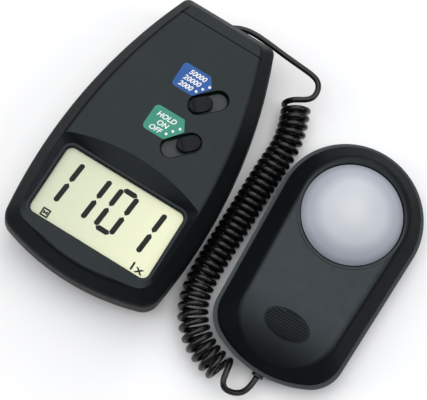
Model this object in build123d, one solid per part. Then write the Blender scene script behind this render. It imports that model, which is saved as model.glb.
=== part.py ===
from build123d import *
import math
import os

# Handheld light meter lying on its back beside its light sensor, joined by a curly cord. Millimetres.
# X runs to the right, +Y to the end where the cord leaves the meter, and +Z up from the table.
# The origin is on the table, midway between the left side of the meter and the right side of the sensor.

# Driving dimensions
meter_length = 117.0
meter_width = 70.0
meter_thickness = 29.0
sensor_length = 99.0
sensor_width = 58.2
sensor_shell_height = 19.0
dome_side = 9.7
dome_diameter = sensor_width - 2 * dome_side
dome_rise = 6.8
side_gap = 13.1
sensor_setback = 0.2
cord_diameter = 2.3
coil_diameter = 12.1
overrun = 5.0
fit = 0.1
running_clearance = 0.3

# Where the two housings stand on the table
span = meter_width + side_gap + sensor_width
meter_x = meter_width / 2 - span / 2
sensor_x = span / 2 - sensor_width / 2
meter_place = Pos(meter_x, 0, 0)
sensor_place = Pos(sensor_x, -sensor_setback, 0)

# Meter housing
wall = 2.0
seam_height = 13.0
shoulder_height = 21.5
end_narrowing = 30.1
end_width = meter_width - end_narrowing
widest_from_foot = 39.2
foot_narrowing = 5.3
foot_width = meter_width - foot_narrowing
foot_crown = 5.8
end_corner = 3.0
foot_corner = 7.0
side_slope = 6.2
end_slope = 5.0
foot_slope = 5.2
end_spread_share = 0.4
shoulder_draft = 0.6
base_draft = 1.4
base_bevel = 1.8
base_bevel_height = 2.2
slope_wall = 2.5
shoulder_round = 5.0
panel_round = 2.0
end_line_from_edge = 4.3
end_line_width = 0.5
end_line_depth = 0.5
end_line_reach = 2.1
lip_height = 1.5
lip_wall = 1.0

# Display: a sloping pocket with an arched top, a flat window and the glass under it
window_side = 9.55
window_width = meter_width - 2 * window_side
window_height = 29.0
window_corner = 3.0
window_thickness = 1.2
window_from_foot = 27.7
window_y = window_from_foot - meter_length / 2
window_ledge = 0.4
pocket_depth = 2.0
pocket_side = 4.2
pocket_half_width = window_width / 2 + pocket_side
pocket_arch_rise = 8.2
pocket_side_rise = 2.1
pocket_foot_fall = 5.5
pocket_arch_top = window_y + window_height / 2 + pocket_arch_rise
pocket_arch_side = window_y + window_height / 2 + pocket_side_rise
pocket_foot = window_y - window_height / 2 - pocket_foot_fall
pocket_corner = 4.0
pocket_floor_margin = 1.0
glass_margin = 0.35
glass_thickness = 2.8
bezel_wall = 1.3
bezel_step = 1.2
zebra_height = 3.6
zebra_width = 2.0
zebra_end_gap = 0.6

# Slide switches: three places each, set at 45 degrees
slot_length = 16.1
slot_width = 8.0
slot_angle = 45.0
switch_x = 9.8
panel_room = meter_length / 2 - pocket_arch_top
range_share = 0.477
power_share = 0.186
range_y = pocket_arch_top + range_share * panel_room
power_y = pocket_arch_top + power_share * panel_room
knob_length = 9.3
knob_width = 5.8
knob_proud = 0.7
knob_round = 0.9
knob_dish = 0.6
knob_end_gap = 0.45
switch_travel = slot_length - knob_length - 2 * knob_end_gap
shield_thickness = 0.9
shield_side_gap = 0.8
shield_gap = 0.2
shield_width = slot_width - 2 * shield_side_gap
shield_length = slot_length + switch_travel - 2 * shield_side_gap
stem_length = 3.0
stem_width = 2.0
switch_case_length = 19.0
switch_case_width = 7.2
switch_case_height = 4.9
switch_case_wall = 0.7
slider_length = 7.6
slider_height = 2.4
pin_width = 0.7
pin_length = 3.2
pin_pitch = 3.0
pins_per_row = 4
pin_row_gap = 5.0

# Main board with its parts
board_thickness = 1.6
board_inset = 4.6
board_over_switch = 13.4
board_from_foot = 13.0
board_top_y = range_y + board_over_switch
board_foot_y = board_from_foot - meter_length / 2
upper_screw_x = 8.0
upper_screw_over_switch = 10.8
lower_screw_side = 11.0
lower_screw_over_window = 9.95
board_screw_rows = ((upper_screw_x, range_y + upper_screw_over_switch),
                    (meter_width / 2 - lower_screw_side, window_y + window_height / 2 + lower_screw_over_window))
board_post_diameter = 5.2
board_screw_diameter = 2.2
board_screw_head = 4.0
board_screw_head_height = 1.5
board_screw_length = 5.0
chip_diameter = 13.0
chip_height = 2.2
chip_share = -0.3
trimmer_size = 6.6
trimmer_height = 4.6
trimmer_row_x = (-23.0, -15.0, -7.0)
trimmer_screw_diameter = 2.6
trimmer_slot_width = 0.6
trimmer_slot_depth = 0.7
capacitor_diameter = 5.0
capacitor_height = 6.2
capacitor_row_x = (-16.0, -8.5)

# Case screws and their posts
case_screw_foot_side = 8.8
case_screw_from_foot = 7.7
case_screw_end_side = 4.1
case_screw_from_end = 10.8
case_screw_rows = ((foot_width / 2 - case_screw_foot_side, case_screw_from_foot - meter_length / 2),
                   (end_width / 2 - case_screw_end_side, meter_length / 2 - case_screw_from_end))
case_post_diameter = 6.6
case_screw_diameter = 2.6
case_screw_head = 5.0
case_screw_head_height = 2.0
case_screw_length = 14.0
case_screw_recess = 5.6
case_recess_depth = 4.0
recess_wall = 1.2
driver_width = 0.8
driver_depth = 0.9
screw_flats = 8

# Battery bay, battery and sliding door
battery_diameter = 10.3
battery_length = 28.0
battery_cap_diameter = 5.0
battery_cap_height = 0.8
battery_from_foot = 22.0
battery_y = battery_from_foot - meter_length / 2
battery_lift = 2.0
bay_length = 33.0
bay_width = 11.6
bay_wall = 1.3
contact_thickness = 0.4
contact_width = 8.0
spring_diameter = 6.0
spring_wire = 0.7
spring_turns = 2
door_width = 33.0
door_rail = 1.2
door_lip_height = 0.9
door_thickness = 1.8
door_length = 32.0
door_top_y = door_length - meter_length / 2
door_groove_width = 0.8
door_groove_pitch = 2.2
door_grooves = 5
door_groove_length = 14.0
floor_pad = 3.6
pad_margin = 4.0

# Sensor housing
sensor_seam = 8.6
sensor_wall = 1.8
rim_step = 1.4
sensor_draft = 0.8
sensor_bevel = 1.8
sensor_bevel_height = 1.8
sensor_shoulder = 11.4
sensor_shoulder_draft = 0.5
sensor_slope = 6.6
sensor_foot_narrowing = 2.3
sensor_foot_half = sensor_width / 2 - sensor_foot_narrowing
sensor_foot_crown = 9.4
sensor_foot_corner = 13.9
sensor_round = 4.0
sensor_lip_height = 1.2
sensor_lip_wall = 0.8
nose_from_foot = 24.0
nose_y = nose_from_foot - sensor_length / 2
nose_drop = 7.5
nose_steepest = 36.0
grip_length = 18.4
grip_width = 10.8
grip_from_foot = 19.6
grip_y = grip_from_foot - sensor_length / 2
grip_ribs = 8
grip_groove = 0.6
grip_outline = 0.6
grip_depth = 0.7

# Light inlet under the dome
dome_from_end = 30.8
dome_y = sensor_length / 2 - dome_from_end
dome_wall = 1.5
dome_rim_height = 2.0
dome_groove = 0.55
collar_width = 0.9
collar_height = 0.3
seat_depth = 1.8
seat_width = 2.3
holder_diameter = 24.0
holder_wall = 2.0
filter_diameter = 17.0
filter_thickness = 2.0
filter_ledge = 1.0
diode_diameter = 8.4
diode_height = 3.4
diode_base_diameter = 9.2
diode_base_height = 0.8
diode_window_diameter = 6.0
diode_window_depth = 0.4
sensor_board_width = 30.0
sensor_board_length = 50.0
sensor_board_below_dome = 6.8
sensor_board_y = dome_y - sensor_board_below_dome
sensor_board_bottom = 6.4
sensor_board_corner = 3.0
sensor_board_screw_x = 10.0
sensor_board_screw_rise = 3.8
sensor_board_screw_y = sensor_board_y - sensor_board_length / 2 + sensor_board_screw_rise
sensor_board_screw_spots = ((sensor_board_screw_x, sensor_board_screw_y),
                            (-sensor_board_screw_x, sensor_board_screw_y))
sensor_post_diameter = 5.0
sensor_screw_side = 9.3
sensor_screw_below_dome = 25.8
sensor_foot_screw_side = 12.6
sensor_foot_screw_rise = 15.0
sensor_screw_rows = ((sensor_width / 2 - sensor_screw_side, dome_y - sensor_screw_below_dome),
                     (sensor_width / 2 - sensor_foot_screw_side, sensor_foot_screw_rise - sensor_length / 2))
sensor_screw_length = 9.0

# Cord ends
gland_diameter = 4.6
gland_proud = 0.8
gland_length = 8.0
gland_flange = 6.2
gland_flange_length = 1.0
exit_x = -1.5
exit_angle = 40.0
sensor_exit_x = 1.0
sensor_exit_height = 5.0
wire_diameter = 1.1
wire_bend = 1.2
signal_over_switch = 3.4
signal_y = range_y + signal_over_switch
sensor_lead_rise = 4.0
sensor_lead_y = sensor_board_y - sensor_board_length / 2 + sensor_lead_rise

# Free stretches of the cord, from the meter's middle: the ends of each list follow from the pieces that they meet
lead_meter_points = [(7.5, 62.7, 13.0), (15.0, 62.3, 12.9), (23.0, 61.5, 12.7), (30.5, 61.0, 12.4),
                     (36.2, 60.7, 12.1), (40.0, 59.8, 11.7), (41.8, 56.4, 11.3)]
lead_sensor_points = [(72.3, -61.2, 8.9), (76.8, -58.6, 6.6)]
gland_run = 3.2
coil_run = 3.0
# Middle line of the curls, from the meter end to the sensor end
coil_points = [(36.9, 49.4), (39.2, 44.2), (41.3, 37.5), (42.3, 30.5), (41.7, 22.0), (41.6, 9.0), (41.6, -5.0),
               (41.5, -16.3), (41.4, -26.5), (42.1, -34.8), (44.6, -41.9), (49.0, -47.8), (54.8, -52.0),
               (61.2, -54.6), (67.4, -55.6)]
coil_height = 6.2
curl_pitch = 2.66
curl_gap = 0.55
loose_start = 1.0
loose_end = 7.0
loose_reach = 1.6
wire_sides = 8
wire_turn = 10.0


def x_cylinder(radius, length, x, y, z):
    return Pos(x, y, z) * Rot(0, 90, 0) * Cylinder(radius, length)


def post(diameter, bottom, top, x, y):
    return Pos(x, y, (bottom + top) / 2) * Cylinder(diameter / 2, top - bottom)


def block(width, length, bottom, top, x=0.0, y=0.0):
    return Pos(x, y, (bottom + top) / 2) * Box(width, length, top - bottom)


def both_sides(rows):
    return [(side * x, y) for x, y in rows for side in (-1, 1)]


def stack(levels):
    """Joins ruled lofts through plan outlines, given as pairs of a height and a face."""
    solid = None
    for (low, lower), (high, upper) in zip(levels, levels[1:]):
        piece = loft([Pos(0, 0, low) * lower, Pos(0, 0, high) * upper], ruled=True)
        solid = piece if solid is None else solid + piece
    return solid


def level_edges(solid, height):
    """Edges that lie flat at one height."""
    near = meter_thickness * 1e-5
    return [e for e in solid.edges() if abs(e.bounding_box().min.Z - height) < near
            and abs(e.bounding_box().max.Z - height) < near]


def corners_at(face, y):
    return [v for v in face.vertices() if abs(v.Y - y) < meter_thickness * 1e-5]


def meter_outline(side, end, foot):
    """Plan outline of the meter, drawn in by the given amounts at its sides, cord end and foot."""
    end_y = meter_length / 2 - end
    foot_y = foot - meter_length / 2
    corner_y = foot_y + foot_crown
    wide_y = widest_from_foot - meter_length / 2
    half = meter_width / 2 - side
    end_half = end_width / 2 - side + end * end_spread_share
    foot_half = foot_width / 2 - side
    edges = [Line((-end_half, end_y), (end_half, end_y)),
             ThreePointArc((-foot_half, corner_y), (0, foot_y), (foot_half, corner_y))]
    for hand in (-1, 1):
        edges.append(TangentArc((hand * half, wide_y), (hand * end_half, end_y), tangent=(0, 1)))
        edges.append(TangentArc((hand * half, wide_y), (hand * foot_half, corner_y), tangent=(0, -1)))
    face = make_face(edges)
    face = fillet(corners_at(face, end_y), end_corner)
    return fillet(corners_at(face, corner_y), foot_corner)


def meter_inset(amount):
    return meter_outline(amount, amount, amount)


def meter_body():
    """Outside of both half shells as one solid."""
    base = base_draft + base_bevel
    body = stack([(0, meter_inset(base)),
                  (base_bevel_height, meter_inset(base_draft)),
                  (seam_height, meter_inset(0)),
                  (shoulder_height, meter_inset(shoulder_draft)),
                  (meter_thickness, meter_outline(side_slope, end_slope, foot_slope))])
    body = fillet(level_edges(body, meter_thickness), panel_round)
    return fillet(level_edges(body, shoulder_height), shoulder_round)


def sloped_inset(slope):
    """Inset of the cavity's roof where the shell's slope is drawn in by a given amount at the panel."""
    rise = meter_thickness - shoulder_height
    return slope + slope_wall - wall * (slope - shoulder_draft) / rise


def meter_cavity():
    base = base_draft + base_bevel
    roof = meter_outline(sloped_inset(side_slope), sloped_inset(end_slope), sloped_inset(foot_slope))
    return stack([(wall, meter_inset(base + wall / 2)),
                  (base_bevel_height + wall, meter_inset(base_draft + wall)),
                  (seam_height, meter_inset(wall)),
                  (shoulder_height, meter_inset(shoulder_draft + slope_wall)),
                  (meter_thickness - wall, roof)])


def pocket_contour(margin):
    """Arched outline of the display pocket at the panel, moved out by a margin."""
    half = pocket_half_width + margin
    side_y = pocket_arch_side + margin
    foot_y = pocket_foot - margin
    arch = ThreePointArc((-half, side_y), (0, pocket_arch_top + margin), (half, side_y))
    face = make_face([arch, Polyline((half, side_y), (half, foot_y), (-half, foot_y), (-half, side_y))])
    return fillet(face.vertices(), pocket_corner)


def pocket_floor(margin):
    width = window_width + 2 * (pocket_floor_margin + margin)
    height = window_height + 2 * (pocket_floor_margin + margin)
    return Pos(0, window_y) * RectangleRounded(width, height, window_corner + pocket_floor_margin)


def display_pocket(margin, drop):
    """The pocket as a solid: margin 0 is what is cut away, and a wall's margin is its backing."""
    top = Pos(0, 0, meter_thickness) * pocket_contour(margin)
    low = Pos(0, 0, meter_thickness - pocket_depth - drop) * pocket_floor(margin)
    lid = Pos(0, 0, meter_thickness) * extrude(pocket_contour(margin), overrun)
    return loft([low, top], ruled=True) + lid


def window_hole(clearance, ledge, low, high):
    shape = RectangleRounded(window_width + 2 * (clearance - ledge), window_height + 2 * (clearance - ledge),
                             window_corner - ledge)
    return Pos(0, window_y, low) * extrude(shape, high - low)


def along_slot(y, offset=0.0):
    """Place at a switch's middle, X turned along its slot, moved along it by an offset."""
    return Pos(switch_x, y, 0) * Rot(0, 0, slot_angle) * Pos(offset, 0, 0)


def stadium(length, width, low, high):
    return Pos(0, 0, low) * extrude(SlotOverall(length, width), high - low)


# Heights of the stack inside the meter
panel_under = meter_thickness - wall
pocket_z = meter_thickness - pocket_depth
glass_top = pocket_z - wall
glass_bottom = glass_top - glass_thickness
board_top = glass_bottom - zebra_height
board_bottom = board_top - board_thickness
switch_top = board_top + switch_case_height
shield_top = panel_under - shield_gap
shield_bottom = shield_top - shield_thickness
knob_top = meter_thickness + knob_proud
stem_top = meter_thickness - knob_dish - wall / 4
case_screw_top = case_recess_depth + case_screw_length + fit
board_screw_top = board_bottom + board_screw_length + fit
battery_z = battery_lift + battery_diameter / 2
battery_x = bay_length / 2 - contact_thickness - battery_cap_height - battery_length / 2
bay_ceiling = battery_z + battery_diameter / 2 + 2 * running_clearance + bay_wall


def board_outline():
    bounds = Rectangle(2 * meter_width, board_top_y - board_foot_y)
    return meter_inset(board_inset) & Pos(0, (board_top_y + board_foot_y) / 2) * bounds


def switch_frame(y):
    """Places of one switch's solder pins, as locations at the board."""
    spots = []
    for row in (-1, 1):
        for index in range(pins_per_row):
            along = (index - (pins_per_row - 1) / 2) * pin_pitch
            spots.append(along_slot(y, along) * Pos(0, row * pin_row_gap / 2, 0))
    return spots


def shield_room():
    """Space that a switch's plate sweeps under the panel, with its clearance."""
    return stadium(shield_length + switch_travel + 2 * running_clearance, shield_width + 2 * running_clearance,
                   shield_bottom - running_clearance, shield_top + shield_gap)


def end_line(outside):
    """Fine groove of even depth across the panel near the cord end."""
    y = meter_length / 2 - end_slope - end_line_from_edge
    half = end_width / 2 - side_slope + end_slope * end_spread_share + end_line_reach
    plate = block(2 * half, end_line_width, shoulder_height, meter_thickness, 0, y)
    return plate - Pos(0, 0, -end_line_depth) * outside


def front_case():
    """Upper half shell with the display pocket, switch slots, board posts and screw posts."""
    outside = meter_body()
    shell = outside - (meter_cavity() - display_pocket(wall, wall))
    upper = block(2 * meter_width, 2 * meter_length, seam_height, meter_thickness + overrun)
    shell = shell & upper
    posts = [post(case_post_diameter, seam_height, panel_under + wall / 2, x, y)
             for x, y in both_sides(case_screw_rows)]
    posts += [post(board_post_diameter, board_top, panel_under + wall / 2, x, y)
              for x, y in both_sides(board_screw_rows)]
    shell = shell + (Part() + posts & outside)
    shell = shell - display_pocket(0, 0)
    shell = shell - window_hole(fit, 0, pocket_z - window_thickness, meter_thickness)
    shell = shell - window_hole(0, window_ledge, glass_top - overrun, meter_thickness)
    for y in (range_y, power_y):
        shell = shell - along_slot(y) * stadium(slot_length, slot_width, panel_under - overrun, knob_top)
        shell = shell - along_slot(y) * shield_room()
    rebate = meter_inset(lip_wall - fit) - meter_inset(wall + overrun)
    rebate = Pos(0, 0, seam_height) * extrude(rebate, lip_height + fit)
    shell = shell - rebate
    for x, y in both_sides(case_screw_rows):
        shell = shell - post(case_screw_diameter, seam_height - overrun, case_screw_top, x, y)
    for x, y in both_sides(board_screw_rows):
        shell = shell - post(board_screw_diameter, board_top - overrun, board_screw_top, x, y)
    return shell - end_line(outside) - meter_exit(gland_diameter)


def door_channel(clearance, reach):
    """Stepped bar that the door fills: a plain face outside and two rails inside."""
    top_y = door_top_y + clearance
    low_y = -meter_length / 2 - reach
    length = top_y - low_y
    middle = (top_y + low_y) / 2
    face = block(door_width + 2 * clearance, length, -clearance, door_thickness + clearance, 0, middle)
    rails = block(door_width + 2 * (door_rail + clearance), length, door_lip_height - clearance,
                  door_thickness + clearance, 0, middle)
    return face + rails


def rear_case():
    """Lower half shell with the battery bay, door channel, screw recesses and the raised lip."""
    outside = meter_body()
    shell = outside - meter_cavity()
    lower = block(2 * meter_width, 2 * meter_length, -overrun, seam_height)
    shell = shell & lower
    lip = meter_inset(lip_wall) - meter_inset(wall)
    shell = shell + Pos(0, 0, seam_height - wall) * extrude(lip, wall + lip_height)
    bay_low = battery_y - bay_width / 2 - bay_wall
    pad_top_y = door_top_y + pad_margin
    pad_foot_y = wall - meter_length / 2
    pad = block(door_width + 2 * (door_rail + pad_margin), pad_top_y - pad_foot_y, wall / 2, floor_pad,
                0, (pad_top_y + pad_foot_y) / 2)
    box = block(bay_length + 2 * bay_wall, bay_width + 2 * bay_wall, wall / 2, bay_ceiling, 0, battery_y)
    posts = [post(case_screw_recess + 2 * recess_wall, wall / 2, seam_height, x, y)
             for x, y in both_sides(case_screw_rows)]
    inside = (pad + box + posts) & outside
    shell = shell + inside
    shell = shell - block(bay_length, bay_width, -overrun, bay_ceiling - bay_wall, 0, battery_y)
    shell = shell - door_channel(fit, overrun)
    shell = shell - x_cylinder(wire_diameter / 2 + fit, 2 * bay_length, 0, battery_y, battery_z)
    for x, y in both_sides(case_screw_rows):
        shell = shell - post(case_screw_recess, -overrun, case_recess_depth, x, y)
        shell = shell - post(case_screw_diameter + 2 * fit, 0, seam_height + overrun, x, y)
    shell = shell - meter_exit(gland_diameter)
    return shell


def battery_door():
    """Sliding door: the case's own outside, cut to the channel, with rails and a grooved thumb patch."""
    door = meter_body() & door_channel(0, overrun)
    for index in range(door_grooves):
        y = door_top_y - 2 * door_groove_pitch - index * door_groove_pitch
        groove = block(door_groove_length, door_groove_width, -overrun, door_lip_height / 2, 0, y)
        door = door - groove
    return door


def lcd_window():
    return window_hole(0, 0, pocket_z - window_thickness, pocket_z)


def lcd_glass():
    """Two glass sheets: the upper one stops short so that the lower one shows its contact edges."""
    width = window_width + 2 * glass_margin
    height = window_height + 2 * glass_margin
    half = glass_thickness / 2
    upper = block(width, height - 2 * glass_margin, glass_top - half, glass_top, 0, window_y)
    return upper + block(width, height, glass_bottom, glass_top - half, 0, window_y)


def lcd_bezel():
    """Frame between the board and the display, with a step that the glass sits in."""
    width = window_width + 2 * (glass_margin + fit)
    height = window_height + 2 * (glass_margin + fit)
    top = glass_top - bezel_step
    frame = block(width + 2 * bezel_wall, height + 2 * bezel_wall, board_top, top, 0, window_y)
    frame = frame - block(width, height, glass_bottom, top + overrun, 0, window_y)
    ledge = glass_margin + bezel_wall
    opening = block(width - 2 * ledge, height - 2 * ledge, board_top - overrun, top, 0, window_y)
    return frame - opening


def zebra_strips():
    """Rubber contact strips along both long sides of the glass."""
    ledge = glass_margin + bezel_wall
    width = window_width + 2 * (glass_margin + fit) - 2 * ledge - 2 * zebra_end_gap
    offset = window_height / 2 + glass_margin + fit - ledge - zebra_end_gap / 2 - zebra_width / 2
    return [block(width, zebra_width, board_top, glass_bottom, 0, window_y + side * offset)
            for side in (-1, 1)]


def main_board():
    """Circuit board with holes for its screws and for the switches' pins, notched round the case's posts."""
    board = Pos(0, 0, board_bottom) * extrude(board_outline(), board_thickness)
    for x, y in both_sides(board_screw_rows):
        board = board - post(board_screw_diameter + 2 * fit, board_bottom - overrun, board_top + overrun, x, y)
    hole_side = pin_width + 4 * fit
    pin_hole = block(hole_side, hole_side, board_bottom - overrun, board_top + overrun)
    for x, y in both_sides(case_screw_rows):
        board = board - post(case_post_diameter + 2 * running_clearance, seam_height, switch_top, x, y)
    for y in (range_y, power_y):
        board = board - [spot * pin_hole for spot in switch_frame(y)]
    return board


def switch_case(y):
    """Fixed half of a slide switch: a hollow case open at its slot, with two rows of pins."""
    shell = block(switch_case_length, switch_case_width, board_top, switch_top)
    room = block(switch_case_length - 2 * switch_case_wall, switch_case_width - 2 * switch_case_wall,
                 board_top + switch_case_wall, switch_top - switch_case_wall)
    slot = block(stem_length + switch_travel + 2 * running_clearance, stem_width + 2 * running_clearance,
                 switch_top - overrun / 2, switch_top + overrun)
    shell = along_slot(y) * (shell - room - slot)
    pin = block(pin_width, pin_width, board_top - pin_length, board_top + switch_case_wall / 2)
    return shell + [spot * pin for spot in switch_frame(y)]


def slider(y, offset):
    """Moving contact block of a switch with the stem that carries its knob."""
    low = board_top + switch_case_wall + running_clearance
    width = switch_case_width - 2 * (switch_case_wall + running_clearance)
    body = block(slider_length, width, low, low + slider_height)
    stem = block(stem_length, stem_width, low + slider_height / 2, stem_top)
    return along_slot(y, offset) * (body + stem)


def shield(y, offset):
    """Light plate under the knob that moves with it and fills the slot, a little narrower than the slot."""
    plate = stadium(shield_length, shield_width, shield_bottom, shield_top)
    hole = block(stem_length + 2 * fit, stem_width + 2 * fit, shield_bottom - overrun, shield_top + overrun)
    return along_slot(y, offset) * (plate - hole)


def knob(y, offset):
    """Oval knob with a rounded top, a shallow finger dish and a socket for the stem."""
    body = stadium(knob_length, knob_width, shield_top, knob_top)
    body = fillet(level_edges(body, knob_top), knob_round)
    dish_radius = (knob_length / 3) ** 2 / (2 * knob_dish) + knob_dish / 2
    dish = Pos(0, 0, knob_top - knob_dish + dish_radius) * Rot(90, 0, 0) * Cylinder(dish_radius, 2 * knob_width)
    socket = block(stem_length, stem_width, shield_top - overrun, stem_top)
    return along_slot(y, offset) * (body - dish - socket)


def driver_chip():
    """Drop of hard resin over the bare chip, on the underside of the board."""
    radius = (chip_diameter / 2) ** 2 / (2 * chip_height) + chip_height / 2
    x, y = chip_share * window_width, window_y
    ball = Pos(x, y, board_bottom - chip_height + radius) * Sphere(radius)
    return ball & block(chip_diameter, chip_diameter, board_bottom - chip_height, board_bottom, x, y)


def trimmers():
    """Small square potentiometers that set each range, screw up, with their adjusting slots."""
    pots = []
    y = power_y
    for x in trimmer_row_x:
        body = block(trimmer_size, trimmer_size, board_top, board_top + trimmer_height, x, y)
        top = board_top + trimmer_height
        screw = post(trimmer_screw_diameter, top - trimmer_slot_depth, top + trimmer_slot_width, x, y)
        groove = block(trimmer_screw_diameter, trimmer_slot_width, top, top + overrun, x, y)
        pots.append(body + screw - groove)
    return pots


def capacitors():
    cans = []
    y = range_y
    for x in capacitor_row_x:
        can = post(capacitor_diameter, board_top, board_top + capacitor_height, x, y)
        cans.append(chamfer(can.edges().group_by(Axis.Z)[-1], capacitor_diameter / 10))
    return cans


def screw(head_diameter, head_height, shank_diameter, length, x, y, seat):
    """Pan head screw pointing up, its head below the seat, with a cross recess."""
    head = post(head_diameter, seat - head_height, seat, x, y)
    head = chamfer(head.edges().group_by(Axis.Z)[0], head_height / 4)
    shank = Pos(x, y, seat - head_height / 2) * extrude(RegularPolygon(shank_diameter / 2, screw_flats),
                                                        length + head_height / 2)
    low = seat - head_height
    arms = [block(head_diameter * 0.55, driver_width, low - overrun, low + driver_depth, x, y),
            block(driver_width, head_diameter * 0.55, low - overrun, low + driver_depth, x, y)]
    return head + shank - arms


def case_screws():
    return [screw(case_screw_head, case_screw_head_height, case_screw_diameter, case_screw_length, x, y,
                  case_recess_depth) for x, y in both_sides(case_screw_rows)]


def board_screws():
    return [screw(board_screw_head, board_screw_head_height, board_screw_diameter, board_screw_length, x, y,
                  board_bottom) for x, y in both_sides(board_screw_rows)]


def battery():
    """Cylindrical battery with its raised cap, lying across the case."""
    body = x_cylinder(battery_diameter / 2, battery_length, battery_x, battery_y, battery_z)
    body = chamfer(body.edges(), battery_cap_height / 2)
    cap_x = battery_x + (battery_length + battery_cap_height) / 2
    cap = x_cylinder(battery_cap_diameter / 2, battery_cap_height, cap_x, battery_y, battery_z)
    return body + cap


def contact_plate():
    """Flat contact against the end wall of the bay at the battery's cap."""
    x = bay_length / 2 - contact_thickness / 2
    return block(contact_thickness, contact_width, battery_z - contact_width / 2,
                 battery_z + contact_width / 2, x, battery_y)


def biarc(start, start_way, end, end_way):
    """Two arcs that leave the start and reach the end in the given directions."""
    chord = end - start
    ways = start_way + end_way
    bend = 2 * (1 - start_way.dot(end_way))
    along = chord.dot(ways)
    reach = (math.sqrt(along * along + bend * chord.dot(chord)) - along) / bend
    middle = (start + end + (start_way - end_way) * reach) * 0.5
    middle_way = ((end - end_way * reach) - (start + start_way * reach)).normalized()
    return [Edge.make_tangent_arc(start, start_way, middle), Edge.make_tangent_arc(middle, middle_way, end)]


def polygon_sweep(edges, diameter, sides):
    """Many-sided wire of the given diameter along a path of edges."""
    path = Wire(edges)
    start = Plane(origin=path @ 0, x_dir=Vector(0, 0, 1).cross(path % 0), z_dir=path % 0)
    section = start * RegularPolygon(diameter / 2, sides, rotation=wire_turn)
    return sweep(section, path=path, clean=False)


def contact_spring():
    """Wire spring on a plate at the other end of the battery."""
    wall_x = -bay_length / 2
    plate = block(contact_thickness, contact_width, battery_z - contact_width / 2,
                  battery_z + contact_width / 2, wall_x + contact_thickness / 2, battery_y)
    start_x = wall_x + contact_thickness
    room = battery_x - battery_length / 2 - start_x
    radius = (spring_diameter - spring_wire) / 2
    rise = (room - spring_wire) / spring_turns
    middle = Vector(start_x + spring_wire / 2, battery_y, battery_z)

    def spot(turn):
        angle = 2 * math.pi * turn
        return middle + Vector(turn * rise, radius * math.cos(angle), radius * math.sin(angle))

    def way(turn):
        angle = 2 * math.pi * turn
        return Vector(rise / (2 * math.pi), -radius * math.sin(angle), radius * math.cos(angle)).normalized()

    edges = []
    for half in range(2 * spring_turns):
        low, high = half / 2, (half + 1) / 2
        edges += biarc(spot(low), way(low), spot(high), way(high))
    wire = polygon_sweep(edges, spring_wire, 6)
    foot = x_cylinder(spring_wire / 2, spring_wire, start_x + spring_wire / 4, battery_y + radius, battery_z)
    return plate + foot + wire


def sensor_outline(inset):
    """Plan outline of the sensor: a half round end for the dome, narrowing to a blunt round foot."""
    radius = sensor_width / 2 - inset
    round_y = sensor_length / 2 - sensor_width / 2
    foot_y = inset - sensor_length / 2
    corner_y = foot_y + sensor_foot_crown
    foot_half = sensor_foot_half - inset
    top = (0, round_y + radius)
    arcs = [CenterArc((0, round_y), radius, 0, 90), CenterArc((0, round_y), radius, 90, 90)]
    sides = [Line((hand * radius, round_y), (hand * foot_half, corner_y)) for hand in (-1, 1)]
    foot = ThreePointArc((-foot_half, corner_y), (0, foot_y), (foot_half, corner_y))
    face = make_face(arcs + sides + [foot])
    return fillet(corners_at(face, corner_y), sensor_foot_corner)


def nose_cut(lower, reach):
    """What is left under the sensor's top: flat over the light inlet, then falling in an arc to the foot."""
    top = sensor_shell_height - lower
    run = nose_y + sensor_length / 2
    radius = (run ** 2 + nose_drop ** 2) / (2 * nose_drop)
    flat = block(2 * reach, sensor_length, -overrun, top, 0, nose_y + sensor_length / 2)
    barrel = x_cylinder(radius, 2 * reach, 0, nose_y, top - radius)
    below = block(2 * reach, sensor_length, -overrun - radius, top, 0, nose_y - sensor_length / 2)
    return flat + (barrel & below)


def top_edges(body):
    """Edges between the sensor's top and its sloping sides."""
    tops = [f for f in body.faces() if f.normal_at().Z > math.cos(math.radians(nose_steepest))]
    found = []
    for face in tops:
        for edge in face.edges():
            if sum(edge.is_same(other) for top in tops for other in top.edges()) == 1:
                found.append(edge)
    return found


def sensor_top_body():
    edge = sensor_slope + rim_step
    body = stack([(sensor_seam, sensor_outline(rim_step)),
                  (sensor_shoulder, sensor_outline(rim_step + sensor_shoulder_draft)),
                  (sensor_shell_height, sensor_outline(edge))])
    body = body & nose_cut(0, sensor_width)
    return fillet(top_edges(body), sensor_round)


def sensor_top_cavity():
    edge = sensor_slope + rim_step + sensor_wall / 2
    draft = rim_step + sensor_shoulder_draft + sensor_wall
    body = stack([(sensor_seam, sensor_outline(rim_step + sensor_wall)),
                  (sensor_shoulder, sensor_outline(draft)),
                  (sensor_shell_height - sensor_wall, sensor_outline(edge))])
    return body & nose_cut(sensor_wall, sensor_width)


def dome_post(diameter, bottom, top):
    return post(diameter, bottom, top, 0, dome_y)


def sensor_top_shell():
    """Upper sensor shell: collar and seat for the dome, oval grip patch and four screw posts."""
    outside = sensor_top_body()
    shell = outside - sensor_top_cavity()
    collar_diameter = dome_diameter + 2 * (dome_groove + collar_width)
    collar = dome_post(collar_diameter, seat_z, sensor_shell_height + collar_height)
    seat = dome_post(collar_diameter, seat_z - seat_depth, seat_z)
    posts = [post(board_post_diameter, sensor_seam, sensor_shell_height - sensor_wall / 2, x, y)
             for x, y in both_sides(sensor_screw_rows)]
    shell = shell + collar + seat + (Part() + posts & outside)
    shell = shell - dome_post(dome_diameter + 2 * dome_groove, seat_z, sensor_shell_height + overrun)
    shell = shell - dome_post(dome_diameter - 2 * seat_width, sensor_seam, seat_z + overrun)
    for x, y in both_sides(sensor_screw_rows):
        shell = shell - post(board_screw_diameter, sensor_seam - overrun, sensor_screw_top, x, y)
    rebate = sensor_outline(rim_step + sensor_lip_wall - fit) - sensor_outline(rim_step + sensor_wall + wall)
    shell = shell - Pos(0, 0, sensor_seam) * extrude(rebate, sensor_lip_height + fit)
    return shell - grip_patch(outside)


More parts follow.
